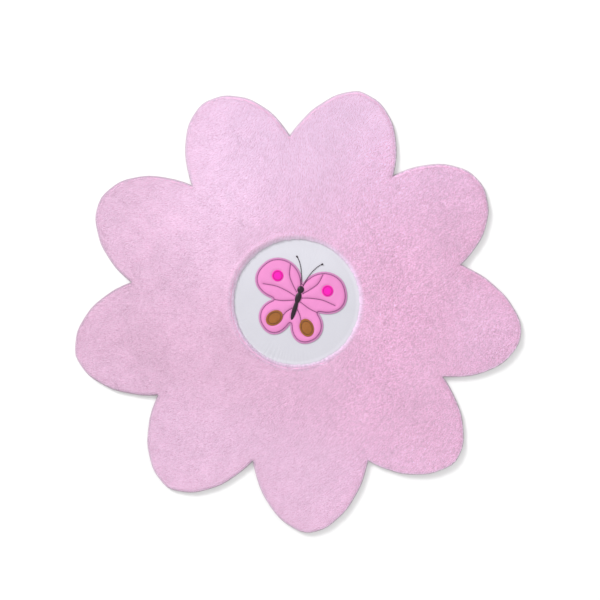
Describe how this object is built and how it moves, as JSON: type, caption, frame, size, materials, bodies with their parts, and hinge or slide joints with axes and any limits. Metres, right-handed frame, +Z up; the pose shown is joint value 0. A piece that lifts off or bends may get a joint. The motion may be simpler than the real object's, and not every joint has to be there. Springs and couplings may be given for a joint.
{
  "type": "flower-shaped plush rug",
  "caption": "Soft plush floor rug cut as a flower with rounded petals, with a round white recessed centre and a padded butterfly sewn on it, for a child's room.",
  "frame": {"origin": "middle of the rug's box in plan, on the underside", "axes": "+Z up out of the pile, +X to the right and +Y to the top of the rug as seen from above"},
  "size_m": [1.2016, 1.1894, 0.018],
  "materials": {
    "pink_plush": "dense short plush pile, brushed",
    "white_velour": "short-pile velour",
    "pink_fleece": "smooth fleece, lightly padded",
    "magenta_felt": "felt",
    "brown_felt": "felt",
    "dark_satin": "satin, stuffed"
  },
  "bodies": {
    "root": {"flower_plush": "pink_plush", "round_centre": "white_velour", "butterfly_wings": "pink_fleece", "fore_spot_right": "magenta_felt", "fore_spot_left": "magenta_felt", "hind_oval_right": "brown_felt", "hind_oval_left": "brown_felt", "butterfly_body": "dark_satin"}
  },
  "joints": []
}
